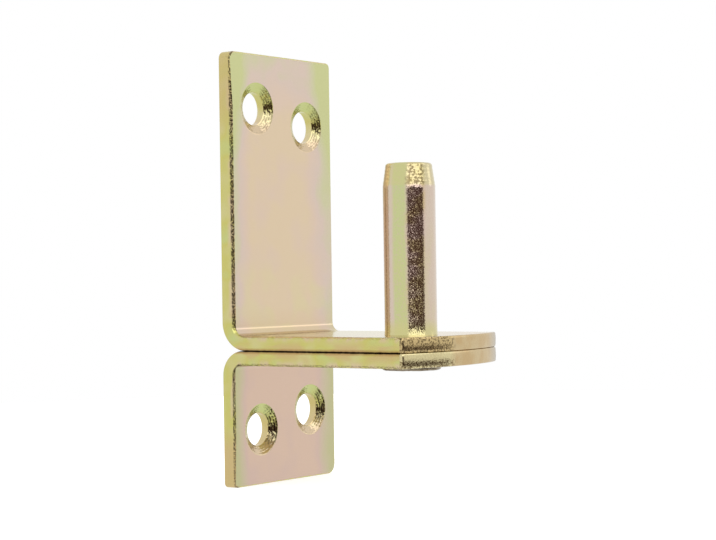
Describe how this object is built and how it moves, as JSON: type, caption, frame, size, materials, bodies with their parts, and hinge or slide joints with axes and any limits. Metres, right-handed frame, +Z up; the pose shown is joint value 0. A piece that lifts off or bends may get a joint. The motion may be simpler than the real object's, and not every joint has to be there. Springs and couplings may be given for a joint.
{
  "type": "gate hinge pin",
  "caption": "Screw-on gate hinge pin: an upright pin with a tapered top, riveted through the stacked legs of a tall and a short bent plate with countersunk holes.",
  "frame": {"origin": "on the pin's axis at its seat, on top of the upper leg", "axes": "+Z up along the pin, +X away from the post that the back faces lie against, Y across the plates"},
  "size_m": [0.063, 0.045, 0.118],
  "materials": {
    "plate_zinc": "yellow chromate zinc plating, satin, with soft pink and green drifts",
    "pin_zinc": "yellow chromate zinc plating over a turned surface"
  },
  "bodies": {
    "root": {"upper_plate": "plate_zinc", "lower_plate": "plate_zinc", "hinge_pin": "pin_zinc"}
  },
  "joints": []
}
